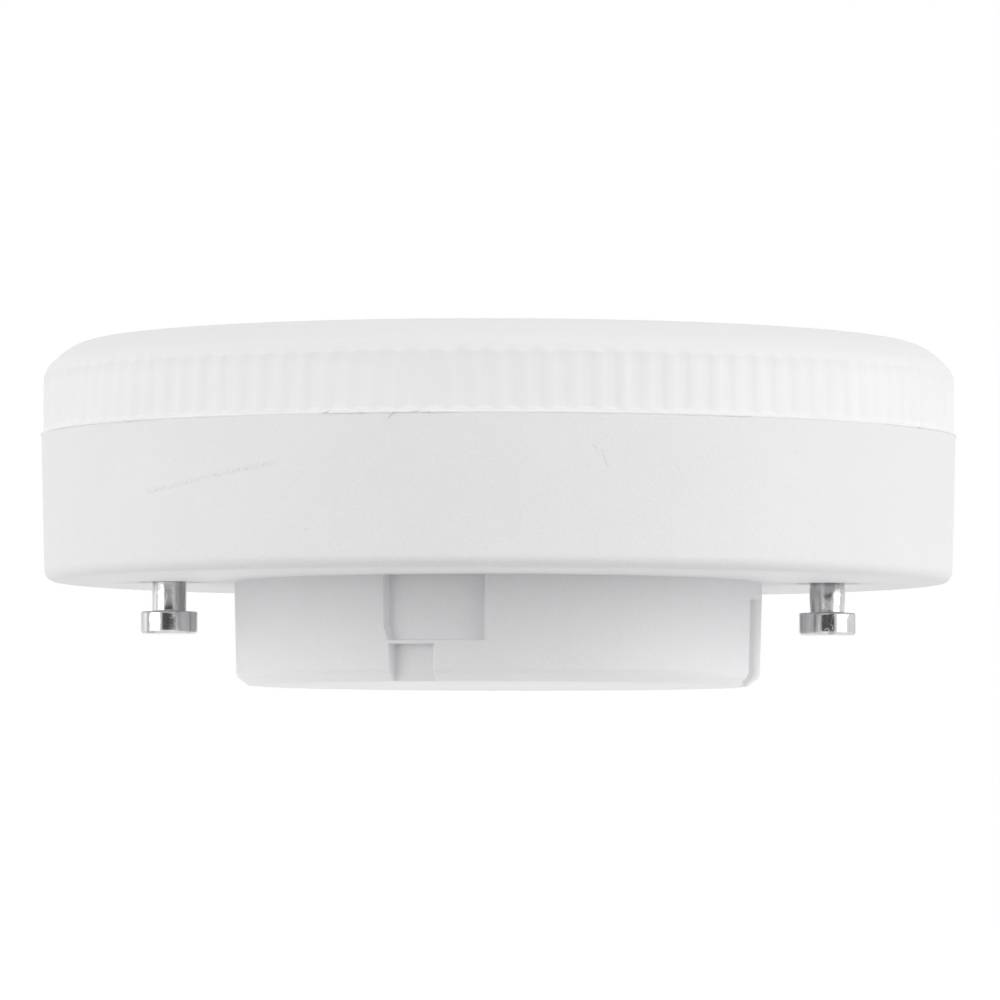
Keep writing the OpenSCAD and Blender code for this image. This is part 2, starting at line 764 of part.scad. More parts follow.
// Drum core with two flanges and a waist
module inductor_core() {
    color("dimgray") on_driver(drum_angle, edge_gap + drum_d / 2) {
        rotate_extrude() polygon([
            [0, 0], [drum_d / 2, 0], [drum_d / 2, drum_flange], [drum_waist_r, drum_flange],
            [drum_waist_r, drum_h - drum_flange], [drum_d / 2, drum_h - drum_flange],
            [drum_d / 2, drum_h], [0, drum_h]
        ]);
        lead_pair(drum_lead_pitch, cut, lead_d, lead_tail);
    }
}

// Copper winding round the drum's waist, one bulge for each layer of turns at its outside
module inductor_winding() {
    turns = 8;
    outer_r = drum_d / 2 - winding_step;
    length = drum_h - 2 * drum_flange;
    step = length / turns;
    color("peru") on_driver(drum_angle, edge_gap + drum_d / 2) rotate_extrude() polygon(concat(
        [[drum_waist_r, drum_flange]],
        [for (i = [0:turns - 1]) each [
            [outer_r - step / 4, drum_flange + i * step], [outer_r, drum_flange + (i + 0.25) * step],
            [outer_r, drum_flange + (i + 0.75) * step]
        ]],
        [[outer_r - step / 4, drum_flange + length], [drum_waist_r, drum_flange + length]]
    ));
}

// Flat package under the driver board, with gull-wing legs along both long sides
module flat_package(l, w, h, legs, pitch) {
    leg_w = 0.5;
    leg_t = 0.25;
    foot = 0.9;
    translate([-l / 2, -w / 2, -h]) cube([l, w, h - leg_t]);
    for (side = [-1, 1], i = [0:legs - 1])
        translate([(i - (legs - 1) / 2) * pitch, side * (w / 2 + foot / 2), -leg_t / 2 - h / 4])
            difference() {
                cube([leg_w, foot, h / 2 + leg_t], center = true);
                translate([0, side * leg_t, -leg_t]) cube([leg_w + cut, foot, h / 2 + leg_t], center = true);
            }
}

module bridge_rectifier() {
    color("black") translate([-package_x, 0, driver_z]) rotate([0, 0, 90])
        flat_package(bridge_l, package_w, bridge_h, 2, bridge_pitch);
}

module driver_chip() {
    color("black") translate([package_x, 0, driver_z]) rotate([0, 0, 90])
        flat_package(chip_l, package_w, chip_h, 4, chip_pitch);
}

// Axial resistor lying on the board between two lead holes
module fusible_resistor() {
    axis_z = fuse_d / 2;
    bulge_l = 1.4;
    edge = 0.25;
    waist_r = fuse_d / 2 - edge;
    color("seagreen") on_driver(fuse_angle, fuse_inset) {
        translate([0, -fuse_l / 2, axis_z]) rotate([-90, 0, 0]) rotate_extrude() polygon([
            [0, 0], [waist_r, 0], [fuse_d / 2, edge], [fuse_d / 2, bulge_l], [waist_r, bulge_l + edge],
            [waist_r, fuse_l - bulge_l - edge], [fuse_d / 2, fuse_l - bulge_l], [fuse_d / 2, fuse_l - edge],
            [waist_r, fuse_l], [0, fuse_l]
        ]);
        translate([0, -fuse_lead_pitch / 2, axis_z]) rotate([-90, 0, 0])
            cylinder(d = lead_d, h = fuse_lead_pitch, $fn = 24);
        for (y = [-fuse_lead_pitch / 2, fuse_lead_pitch / 2])
            translate([0, y, axis_z]) sphere(d = lead_d, $fn = 24);
        lead_pair(fuse_lead_pitch, axis_z, lead_d, lead_tail);
    }
}

// Disc varistor standing on its leads, with a domed coating
module varistor() {
    lift = 0.8;
    dome = 0.6;
    color("royalblue") on_driver(varistor_angle, varistor_inset) {
        translate([-varistor_t / 2, 0, varistor_d / 2 + lift]) rotate([0, 90, 0]) rotate_extrude() polygon([
            [0, 0], [varistor_d / 2 - dome, 0], [varistor_d / 2, dome], [varistor_d / 2, varistor_t - dome],
            [varistor_d / 2 - dome, varistor_t], [0, varistor_t]
        ]);
        lead_pair(varistor_lead_pitch, varistor_d / 2, lead_d, lead_tail);
    }
}

// Quarter bend of a wire in the XZ plane, about a centre, from angle a0
module wire_quarter(x, z, a0) {
    translate([x, 0, z]) rotate([90, 0, 0]) rotate([0, 0, a0]) rotate_extrude(angle = 90)
        translate([wire_bend, 0]) circle(d = wire_d, $fn = 32);
}

// Mains wire: up from the riveted pin, across under the sheet and down to the driver board
module mains_wire() {
    board_x = driver_r - mains_inset;
    pin_top_z = floor_z + pin_pad_h + rivet_h;
    run_z = sheet_z - headroom_gap - wire_d / 2;
    bend_z = run_z - wire_bend;
    translate([pin_x, 0, pin_top_z]) cylinder(d = wire_d, h = bend_z - pin_top_z, $fn = 32);
    wire_quarter(pin_x - wire_bend, bend_z, 0);
    translate([board_x + wire_bend, 0, run_z]) rotate([0, 90, 0])
        cylinder(d = wire_d, h = pin_x - board_x - 2 * wire_bend, $fn = 32);
    wire_quarter(board_x + wire_bend, bend_z, 90);
    translate([board_x, 0, driver_top_z]) cylinder(d = wire_d, h = bend_z - driver_top_z, $fn = 32);
}

module live_wire() {
    color("saddlebrown") mains_wire();
}

module neutral_wire() {
    color("steelblue") rotate([0, 0, 180]) mains_wire();
}

// Wire from the driver board straight up through the windows, bent over into the connector
module led_wire(x) {
    run_z = led_z + conn_h / 2;
    bend_z = run_z - wire_bend;
    translate([x, -led_wire_y, driver_top_z]) cylinder(d = wire_d, h = bend_z - driver_top_z, $fn = 32);
    translate([x, 0, 0]) rotate([0, 0, 90]) wire_quarter(wire_bend - led_wire_y, bend_z, 90);
    translate([x, wire_bend - led_wire_y, run_z]) rotate([-90, 0, 0])
        cylinder(d = wire_d, h = wire_end, $fn = 32);
}

module led_wire_plus() {
    color("red") led_wire(led_wire_pitch / 2);
}

module led_wire_minus() {
    color("black") led_wire(-led_wire_pitch / 2);
}

housing();
diffuser();
contact_pin_left();
contact_pin_right();
heat_spreader();
thermal_pad();
led_board();
led_chips();
board_screws();
wire_connector();
insulating_sheet();
driver_board();
smoothing_capacitor();
output_capacitor();
film_capacitor();
inductor_core();
inductor_winding();
bridge_rectifier();
driver_chip();
fusible_resistor();
varistor();
live_wire();
neutral_wire();
led_wire_plus();
led_wire_minus();
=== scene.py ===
"""Looks of a flat LED disc lamp: white moulded housing, ribbed opal cover, nickel contact pins.

The lamp stands on its boss end at z = 0, with its light upwards and its pins on the X axis.
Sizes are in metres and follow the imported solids. The camera stands a little below the lamp,
as in the photograph, so the pale floor lies well under both.
"""

import math

import bpy
import numpy as np
from mathutils import Matrix, Vector


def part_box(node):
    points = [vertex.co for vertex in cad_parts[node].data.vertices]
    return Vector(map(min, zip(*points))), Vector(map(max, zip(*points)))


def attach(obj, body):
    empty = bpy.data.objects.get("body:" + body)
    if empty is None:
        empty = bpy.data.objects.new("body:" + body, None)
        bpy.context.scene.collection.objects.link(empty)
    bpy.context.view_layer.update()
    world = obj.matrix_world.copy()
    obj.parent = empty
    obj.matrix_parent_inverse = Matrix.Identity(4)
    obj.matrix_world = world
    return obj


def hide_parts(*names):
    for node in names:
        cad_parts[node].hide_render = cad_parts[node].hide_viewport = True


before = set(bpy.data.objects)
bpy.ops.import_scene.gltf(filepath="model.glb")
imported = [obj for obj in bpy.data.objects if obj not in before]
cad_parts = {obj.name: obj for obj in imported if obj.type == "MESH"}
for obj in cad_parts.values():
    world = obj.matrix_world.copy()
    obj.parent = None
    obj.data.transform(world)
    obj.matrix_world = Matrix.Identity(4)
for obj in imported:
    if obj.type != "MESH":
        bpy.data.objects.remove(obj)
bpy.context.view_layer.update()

MM = 0.001

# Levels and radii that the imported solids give
SEAM_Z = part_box("housing")[1].z
DISC_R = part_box("housing")[1].x
TOP_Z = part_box("diffuser")[1].z
LIP_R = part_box("diffuser")[1].x
HEAD_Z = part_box("contact_pin_left")[0].z
PIN_TOP_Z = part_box("contact_pin_left")[1].z
HEAD_R = (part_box("contact_pin_left")[1].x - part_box("contact_pin_left")[0].x) / 2
PIN_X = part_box("contact_pin_right")[1].x - HEAD_R

# Housing
WALL = 1.6 * MM
BACK_Z = 8.3 * MM
DISC_DRAFT = 0.3 * MM
CORNER_R = 0.9 * MM
BOSS_R = 21.25 * MM
BOSS_DRAFT = 0.18 * MM
BOSS_CHAMFER = 0.95 * MM
BOSS_WALL = 2.5 * MM
BOSS_END_R = BOSS_R - BOSS_DRAFT
BAY_R = BOSS_END_R - BOSS_WALL
BORE_R = DISC_R - WALL
FOOT_R = DISC_R - DISC_DRAFT

# Keyways as (start angle, end angle, lowest level, highest level, depth, rounding of the end edge), with
# the angles in degrees from the front
RECESS = (-25.0, -2.3, BACK_Z - 5.12 * MM, BACK_Z + 1 * MM, 0.85 * MM, 0.22 * MM)
ENTRY = (-23.9, -13.3, -1 * MM, BACK_Z - 5.36 * MM, 1.1 * MM, 0.22 * MM)
NOTCH = (71.2, 83.5, -1 * MM, 6.95 * MM, 1.3 * MM, 0.5 * MM)
RECESS_CORNER_W = 0.4 * MM
RECESS_CORNER_H = 1.25 * MM
KEY_EDGE = 0.08 * MM

# Contact pins
HEAD_H = 1.78 * MM
HEAD_BEVEL = 0.15 * MM
NECK_R = 1.375 * MM
NECK_SWELL = 0.06 * MM
PIN_RECESS_R = 2.45 * MM
PIN_RECESS_DEPTH = 0.3 * MM
PIN_RECESS_BEVEL = 0.16 * MM
SHANK_R = 1.1 * MM
RIVET_R = 1.8 * MM
RIVET_H = 0.5 * MM

# Cover
CROWN = 0.2 * MM
RIM_Z = TOP_Z - CROWN
COVER_R = 36.65 * MM
LIP_T = 0.25 * MM
RIB_DEPTH = 0.12 * MM
RIB_COUNT = 120
RIB_CREST = 0.3 * MM
RIB_FLANK = 0.6 * MM
RIB_FOOT = 0.3 * MM
RIB_Z = SEAM_Z + LIP_T + 0.02 * MM
BAND_R = COVER_R - RIB_DEPTH
SHOULDER_W = 3.3 * MM
SHOULDER_H = 2.75 * MM
COVER_WALL = 1.5 * MM
SKIRT_H = 2.8 * MM
SKIRT_R = BORE_R - 0.1 * MM
SKIRT_T = 1.3 * MM

# How much slimmer than the solid's the lip is: everywhere, with the flash, and right of the front, over an
# angle in radians
LIP_SLIM = 0.09 * MM
LIP_FLASH = 0.1 * MM
LIP_FRONT = 0.05 * MM
LIP_FADE = 0.4

# Studio light: the room's radiance, and the dim patch that gloss shows of the room's front, as the ranges
# over which it fades out along y and |z|, and its strength
ROOM = 0.80
PATCH_Y = (-0.93, -0.84)
PATCH_Z = (0.16, 0.34)
PATCH_DIM = 0.06

# Soft boxes as (name, degrees from the front, width, power in watts), all at one distance and height
BOX_DISTANCE = 0.75
BOX_HEIGHT = 0.06
BOX_TALL = 0.7
BOXES = [
    ("side_light_left", -60, 0.56, 3.0), ("side_light_right", 63, 0.60, 3.85),
    ("rim_light_left", -108, 0.30, 0.24)
]

# Floor: its level, half its side, its paper's albedo and the share of white light that falls on it, and the
# light that it throws back up at the lamp
FLOOR_Z = -60 * MM
FLOOR_HALF = 3.0
PAPER = 0.40
PAPER_LIT = 0.75
TABLE_LIGHT_Z = -55 * MM
TABLE_LIGHT_SIZE = (0.15, 0.05)
TABLE_LIGHT_POWER = 0.031

# Marks on the housing's wall, each from one place to another as (degrees from the front, mm up),
# with its half width in mm and its strength
SCUFF = ((-47.9, 14.4), (-27.5, 16.4), 0.3, 0.4)
MARKS = [
    ((11.3, 17.6), (11.8, 17.3), 0.09, 0.30), ((12.3, 17.25), (13.0, 16.0), 0.07, 0.35),
    ((-23.7, 11.2), (-23.5, 11.3), 0.12, 0.35), ((-19.4, 9.95), (-19.3, 10.05), 0.10, 0.30),
    ((38.4, 17.4), (38.6, 17.5), 0.12, 0.30)
]

# Threads of flash on the lip: (degrees from the front, reach along the seam, drop, half thickness), in mm
THREADS = [
    (-12.3, -0.62, 0.55, 0.06), (-21.2, 0.5, -0.22, 0.06), (-10.3, 0.6, -0.16, 0.06),
    (-8.4, 0.55, 0.14, 0.06), (-16.8, 0.7, 0.12, 0.05), (-52.0, 0.6, 0.15, 0.06), (31.0, -0.5, 0.16, 0.05),
    (63.0, 0.6, 0.14, 0.06), (118.0, 0.8, 0.3, 0.06), (171.0, -0.7, 0.25, 0.06), (-141.0, 0.6, 0.2, 0.05)
]

# Photograph: its scale at the lamp's axis and where things lie in its 1000 pixel frame
PHOTO_SIDE = 1000
PIXELS_PER_MM = 12.417
AXIS_X = 498.5
BOSS_END_Y = 686.2
HORIZON_Y = 830.0
PHOTO_ROLL = 0.0023
CAMERA_DISTANCE = 600 * MM


# Meshes

def arc_corner(before, corner, after, radius, steps):
    """Points of a fillet at a corner: an arc that touches both sides, sampled at even angles."""
    corner = np.array(corner, float)
    u = np.array(before, float) - corner
    v = np.array(after, float) - corner
    u /= np.linalg.norm(u)
    v /= np.linalg.norm(v)
    half = math.acos(max(-1.0, min(1.0, float(u @ v)))) / 2
    reach = radius / math.tan(half)
    middle = corner + (u + v) / np.linalg.norm(u + v) * radius / math.sin(half)
    first = corner + u * reach - middle
    last = corner + v * reach - middle
    a0 = math.atan2(first[1], first[0])
    turn = (math.atan2(last[1], last[0]) - a0 + math.pi) % (2 * math.pi) - math.pi
    angles = a0 + turn * np.linspace(0, 1, steps)
    return middle + radius * np.stack([np.cos(angles), np.sin(angles)], axis=1)


def outline(points, steps=7):
    """Dense (r, z) outline from corners (r, z, fillet radius); a corner of radius 0 stays sharp."""
    rows = []
    for i, (r, z, fillet) in enumerate(points):
        if fillet and 0 < i < len(points) - 1:
            rows.append(arc_corner(points[i - 1][:2], (r, z), points[i + 1][:2], fillet, steps))
        else:
            rows.append(np.array([[r, z]]))
    return np.vstack(rows)


def with_rows(profile, levels, low, high):
    """Adds points to the profile where its straight stretches cross the levels between low and high."""
    rows = [profile[0]]
    for a, b in zip(profile[:-1], profile[1:]):
        cross = [z for z in levels if low < z < high and min(a[1], b[1]) < z < max(a[1], b[1])]
        cross.sort(reverse=bool(a[1] > b[1]))
        rows += [a + (b - a) * (z - a[1]) / (b[1] - a[1]) for z in cross]
        rows.append(b)
    return np.array(rows)


def braced(profile, longest=0.9 * MM, reach=0.15 * MM):
    """Puts a point close to each end of every long stretch of the profile, so that the shading of the
    rounded corners doesn't run out over it."""
    rows = [profile[:1]]
    for a, b in zip(profile[:-1], profile[1:]):
        length = float(np.linalg.norm(b - a))
        shares = [reach / length, 1 - reach / length, 1] if length > longest else [1]
        rows.append(a + (b - a) * np.array(shares)[:, None])
    return np.vstack(rows)


def subdivided(profile, longest):
    """Splits each stretch of the profile into even parts no longer than the given length."""
    rows = [profile[:1]]
    for a, b in zip(profile[:-1], profile[1:]):
        n = max(1, int(math.ceil(np.linalg.norm(b - a) / longest)))
        rows.append(a + (b - a) * (np.arange(1, n + 1) / n)[:, None])
    return np.vstack(rows)


def linked(name, data):
    """New object in the scene that holds the given mesh, light or camera."""
    thing = bpy.data.objects.new(name, data)
    bpy.context.scene.collection.objects.link(thing)
    return thing


def closed_mesh(name, rings, poles):
    """Closed surface on a grid: rings[i, j] is point j of ring i. Quads join neighbours on neighbouring
    rings, each ring closes on itself, and a fan of triangles runs from each pole to its end ring."""
    rows, columns = rings.shape[:2]
    i = np.arange(rows - 1)[:, None] * columns
    j = np.arange(columns)[None, :]
    k = (j + 1) % columns
    quads = np.stack([i + j, i + k, i + columns + k, i + columns + j], axis=-1).reshape(-1, 4)
    j, k = j[0], k[0]
    last = (rows - 1) * columns
    low = np.stack([np.full(columns, rows * columns), k, j], axis=-1)
    high = np.stack([np.full(columns, rows * columns + 1), last + j, last + k], axis=-1)
    points = np.vstack([rings.reshape(-1, 3), poles])
    mesh = bpy.data.meshes.new(name)
    mesh.from_pydata(points.tolist(), [], quads.tolist() + low.tolist() + high.tolist())
    outward_faces(mesh)
    return linked(name, mesh)


def turned_mesh(name, radius, level, angles):
    """Closed surface of revolution: point (i, j) lies at radius[i, j], level[i, j] and angle angles[j] from
    the front, (r sin a, -r cos a, z). The first and last rows are poles on the axis, one point each."""
    sin, cos = np.sin(angles), -np.cos(angles)
    rings = np.stack([radius[1:-1] * sin, radius[1:-1] * cos, level[1:-1]], axis=-1)
    return closed_mesh(name, rings, [[0, 0, level[0].mean()], [0, 0, level[-1].mean()]])


def turned_profile(name, profile, columns):
    """Plain surface of revolution of an (r, z) outline, with even columns."""
    angles = np.arange(columns) * 2 * math.pi / columns
    radius, level = (np.repeat(profile[:, n:n + 1], columns, axis=1) for n in (0, 1))
    return turned_mesh(name, radius, level, angles)


def outward_faces(mesh):
    """Turns all faces round if the closed mesh encloses a negative volume: the sum over its triangles of
    a . (b x c)."""
    mesh.calc_loop_triangles()
    points = np.zeros(len(mesh.vertices) * 3)
    mesh.vertices.foreach_get("co", points)
    points = points.reshape(-1, 3)
    corners = np.zeros(len(mesh.loop_triangles) * 3, int)
    mesh.loop_triangles.foreach_get("vertices", corners)
    a, b, c = (points[corners.reshape(-1, 3)[:, n]] for n in range(3))
    if np.einsum("ij,ij->i", a, np.cross(b, c)).sum() < 0:
        mesh.flip_normals()


def finish_piece(piece, body, node, material, sharp_degrees=38):
    """Shades a piece smooth up to a corner angle, gives it its finish and lets it stand for its CAD node."""
    mesh = piece.data
    mesh.polygons.foreach_set("use_smooth", np.ones(len(mesh.polygons), bool))
    mesh.set_sharp_from_angle(angle=math.radians(sharp_degrees))
    mesh.materials.clear()
    mesh.materials.append(material)
    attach(piece, body)
    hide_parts(node)
    return piece


def smooth_step(low, high, value):
    """Rises from 0 at low to 1 at high along the curve 3t^2 - 2t^3."""
    t = np.clip((value - low) / (high - low), 0, 1)
    return t * t * (3 - 2 * t)


def key_mask(angle, level, key, radius):
    """1 inside a keyway and 0 outside, with soft edges KEY_EDGE wide. The end edge is a quarter round, which
    sinks by 1 - sqrt(1 - s^2) of its radius over the share s of its width. The locking recess keeps a
    bevelled lower corner, where its start moves on as the level falls."""
    start, end, low, high, depth, bend = key
    width = KEY_EDGE / radius
    first = math.radians(start)
    if key is RECESS:
        first = first + RECESS_CORNER_W / radius * np.clip(1 - (level - low) / RECESS_CORNER_H, 0, 1)
    across = smooth_step(first, first + width, angle)
    share = (math.radians(end) - angle) * radius / bend
    sunk = bend / depth * (1 - np.sqrt(1 - np.clip(share, 0, 1) ** 2))
    across = across * np.where(share > 1.001, 1, sunk)
    along = smooth_step(low, low + KEY_EDGE, level) * (1 - smooth_step(high - KEY_EDGE, high, level))
    return across * along


def key_angles():
    """Column angles round the housing: even steps, and close lines over the keyways' edges."""
    angles = [np.arange(480) * math.radians(0.75)]
    width = KEY_EDGE / BOSS_R
    for key in (RECESS, ENTRY, NOTCH):
        for half_turn in (0, math.pi):
            start, end = math.radians(key[0]) + half_turn, math.radians(key[1]) + half_turn
            angles.append(start + width * np.linspace(0, 1, 5))
            angles.append(end - key[5] / BOSS_R * np.sin(np.linspace(0, 1, 9) * math.pi / 2))
            angles.append(np.array([end - (key[5] + 0.02 * MM) / BOSS_R]))
            if key is RECESS:
                angles.append(start + RECESS_CORNER_W / BOSS_R * np.linspace(0, 1, 9))
    merged = np.unique(np.round(np.concatenate(angles) % (2 * math.pi), 6))
    return merged[np.concatenate([[True], np.diff(merged) > 2e-5])]


def housing_piece(material):
    """Housing: its half section turned about the axis. On the boss the radius r becomes r + (f - r) * m,
    with the keyway's mask m and the lesser f of r and the radius of the keyway's floor."""
    chamfer_mid = (BOSS_END_R - BOSS_CHAMFER * 0.2, BOSS_CHAMFER * 0.62)
    profile = outline([
        (0, 0, 0), (BOSS_END_R - BOSS_CHAMFER, 0, 0.12 * MM), (*chamfer_mid, 0.3 * MM),
        (BOSS_END_R, BOSS_CHAMFER, 0.2 * MM), (BOSS_R, BACK_Z, 0.04 * MM), (FOOT_R, BACK_Z, CORNER_R),
        (DISC_R, SEAM_Z, 0.03 * MM), (BORE_R, SEAM_Z, 0.08 * MM), (BORE_R, BACK_Z + WALL, 0.3 * MM),
        (BAY_R, BACK_Z + WALL, 0.2 * MM), (BAY_R, WALL, 0.3 * MM), (0, WALL, 0)
    ])
    back = np.argmax((profile[:, 0] > BOSS_R) & (profile[:, 1] > BACK_Z - 0.01 * MM))
    boss, rest = profile[:back + 1], profile[back:]
    steps = np.linspace(0, 1, 5)
    levels = [RECESS[2] + KEY_EDGE * t for t in steps] + [RECESS[2] + RECESS_CORNER_H * t for t in steps]
    levels += [key[3] - KEY_EDGE * t for key in (ENTRY, NOTCH) for t in steps]
    boss = with_rows(boss, sorted(levels), 0.2 * MM, BACK_Z - 0.05 * MM)
    boss, rest = braced(boss), braced(rest)
    on_boss = len(boss)
    profile = np.vstack([boss, rest[1:]])
    angles = key_angles()
    radius = np.repeat(profile[:, :1], len(angles), axis=1)
    level = np.repeat(profile[:, 1:], len(angles), axis=1)
    folded = (angles + math.pi / 2) % math.pi - math.pi / 2
    for key in (RECESS, ENTRY, NOTCH):
        mask = key_mask(folded[None, :], level, key, BOSS_R)
        floor = BOSS_END_R - key[4]
        drawn = np.minimum(radius, floor)
        mask[on_boss:] = 0
        radius = radius + (drawn - radius) * mask
    piece = turned_mesh("housing_shell", radius, level, angles)
    for side in (-1, 1):
        cut_round_recess(piece, (side * PIN_X, 0, BACK_Z), PIN_RECESS_R, PIN_RECESS_DEPTH)
    return finish_piece(piece, "root", "housing", material)


def cut_round_recess(piece, centre, radius, depth):
    """Cuts a flat round recess with a bevelled edge upwards into a piece, by taking a turned plug away."""
    bevel = PIN_RECESS_BEVEL
    wide = radius + bevel + depth
    profile = np.array([[0, -depth], [wide, -depth], [radius, bevel], [radius, depth], [0, depth]])
    cutter = turned_profile("recess_cutter", profile, 96)
    cutter.data.transform(Matrix.Translation(centre))
    cut = piece.modifiers.new("recess", "BOOLEAN")
    cut.operation = "DIFFERENCE"
    cut.solver = "EXACT"
    cut.object = cutter
    graph = bpy.context.evaluated_depsgraph_get()
    mesh = bpy.data.meshes.new_from_object(piece.evaluated_get(graph))
    piece.modifiers.clear()
    piece.data = mesh
    bpy.data.objects.remove(cutter)


def shoulder(r, w, h):
    """Corners of the cover's shoulder, from the band inwards to the face."""
    return [
        (r, RIM_Z - h, 0.8 * MM), (r - w * 0.106, RIM_Z - h * 0.70, 0.9 * MM),
        (r - w * 0.42, RIM_Z - h * 0.35, 2.0 * MM), (r - w * 0.72, RIM_Z - h * 0.11, 1.6 * MM),
        (r - w, RIM_Z, 1.6 * MM)
    ]


def rib_columns():
    """Column angles of the band: ten lines for each rib, close together on its flanks."""
    pitch = 2 * math.pi / RIB_COUNT
    crest = RIB_CREST / 2 / COVER_R
    foot = crest + RIB_FLANK / COVER_R
    gap = pitch / 2 - foot
    flank = foot - crest
    on_flank = crest + flank * np.array([0.2, 0.5, 0.8])
    half = np.array([crest * 0.6, *on_flank, foot + gap * 0.3])
    offsets = np.concatenate([-half[::-1], half])
    angles = (np.arange(RIB_COUNT) * pitch)[:, None] + offsets[None, :]
    return angles.reshape(-1), np.tile(offsets, RIB_COUNT), np.repeat(np.arange(RIB_COUNT), len(offsets))


def diffuser_piece(material):
    """Cover: its half section turned about the axis. On the band the radius is the lesser of the envelope
    and the grooves' radius plus the rib height, which falls to 0 over each rib's flanks, or plus the small
    cove that leads every groove out to the lip. The lip is slimmer by LIP_SLIM, by up to LIP_FLASH more with
    the flash, and by LIP_FRONT * exp(-(angle / LIP_FADE)^2) more to the right of the front."""
    draw = np.random.default_rng(7)
    inner_r = BAND_R - COVER_WALL
    skirt_in = SKIRT_R - SKIRT_T
    outer = outline([
        (0, TOP_Z, 0), *reversed(shoulder(COVER_R, SHOULDER_W, SHOULDER_H)),
        (COVER_R, SEAM_Z + LIP_T, 0)
    ], steps=6)
    outer = braced(outer)
    levels = [RIB_Z + t * RIB_FOOT for t in np.linspace(0, 1, 5)]
    outer = with_rows(outer, levels, SEAM_Z, RIM_Z)
    rest = outline([
        (COVER_R, SEAM_Z + LIP_T, 0), (LIP_R, SEAM_Z + LIP_T * 0.6, 0.06 * MM), (LIP_R, SEAM_Z, 0.04 * MM),
        (SKIRT_R, SEAM_Z, 0), (SKIRT_R, SEAM_Z - SKIRT_H, 0.2 * MM), (skirt_in, SEAM_Z - SKIRT_H, 0.2 * MM),
        (skirt_in, RIB_Z, 0.2 * MM), (inner_r, RIB_Z + inner_r - skirt_in, 0.2 * MM),
        *[(r, z - COVER_WALL, f / 2) for r, z, f in shoulder(inner_r, SHOULDER_W, SHOULDER_H)],
        (0, TOP_Z - COVER_WALL, 0)
    ], steps=3)
    profile = np.vstack([outer, rest[1:]])
    angles, offset, rib = rib_columns()
    radius = np.repeat(profile[:, :1], len(angles), axis=1)
    level = np.repeat(profile[:, 1:], len(angles), axis=1)
    crest = RIB_CREST / 2 / COVER_R * (1 + 0.12 * draw.standard_normal(RIB_COUNT)[rib])
    flank = RIB_FLANK / COVER_R
    height = RIB_DEPTH * np.clip(1 - 0.12 * np.abs(draw.standard_normal(RIB_COUNT))[rib], 0.5, 1)
    height = height * (1 - smooth_step(crest, crest + flank, np.abs(offset)))
    cove = RIB_DEPTH * (1 - smooth_step(RIB_Z, RIB_Z + RIB_FOOT, level[:len(outer)]))
    radius[:len(outer)] = np.minimum(radius[:len(outer)], BAND_R + np.maximum(height[None, :], cove))
    lip = slice(len(outer), len(outer) + 14)
    on_lip = radius[lip] > COVER_R + 0.02 * MM
    slimmed = LIP_SLIM + LIP_FLASH * flash(angles, draw) + LIP_FRONT * np.exp(-((angles / LIP_FADE) ** 2))
    radius[lip] = np.where(on_lip, radius[lip] - slimmed[None, :], radius[lip])
    piece = turned_mesh("diffuser_cover", radius, level, angles)
    threads = [flash_thread(*thread) for thread in THREADS]
    join([piece] + threads)
    return finish_piece(piece, "root", "diffuser", material)


def flash(angles, draw):
    """Uneven edge of the lip, from 0 to 1: a sum of sine waves with seeded phases, cut at its middle."""
    waves = np.array([5, 9, 14, 23, 37, 61, 97])
    phases = draw.uniform(0, 2 * math.pi, len(waves))
    weights = 1 / np.sqrt(waves)
    total = (np.sin(angles[:, None] * waves + phases) * weights).sum(axis=1)
    return np.clip(total / weights.sum() * 2.2 + 0.4, 0, 1)


def flash_thread(angle, reach, drop, thickness):
    """Thin thread of flash off the lip: a tube round a bent path that goes sideways by t * reach and down by
    t^2 * drop, with the half thickness times sqrt(1 - (2t - 1)^4); lengths in mm."""
    t = np.linspace(0, 1, 15)
    turn = math.radians(angle) + t * reach * MM / DISC_R
    radius = DISC_R + 0.02 * MM + 0.05 * MM * np.sin(math.pi * t)
    level = SEAM_Z + 0.1 * MM - t ** 2 * drop * MM
    path = np.stack([radius * np.sin(turn), -radius * np.cos(turn), level], axis=1)
    out = np.stack([np.sin(turn), -np.cos(turn), np.zeros(len(t))], axis=1)
    tangent = np.gradient(path, axis=0)
    tangent /= np.linalg.norm(tangent, axis=1)[:, None]
    side = np.cross(tangent, out)
    girth = thickness * MM * np.sqrt(np.clip(1 - (2 * t - 1) ** 4, 0, 1))
    around = np.arange(8) * math.pi / 4
    rings = path[1:-1, None] + girth[1:-1, None, None] * (
        out[1:-1, None] * np.cos(around)[None, :, None] + side[1:-1, None] * np.sin(around)[None, :, None])
    return closed_mesh("flash_thread", rings, path[[0, -1]])


def join(pieces):
    """Joins the pieces' meshes into the first one."""
    with bpy.context.temp_override(active_object=pieces[0], object=pieces[0], selected_objects=pieces,
                                   selected_editable_objects=pieces):
        bpy.ops.object.join()


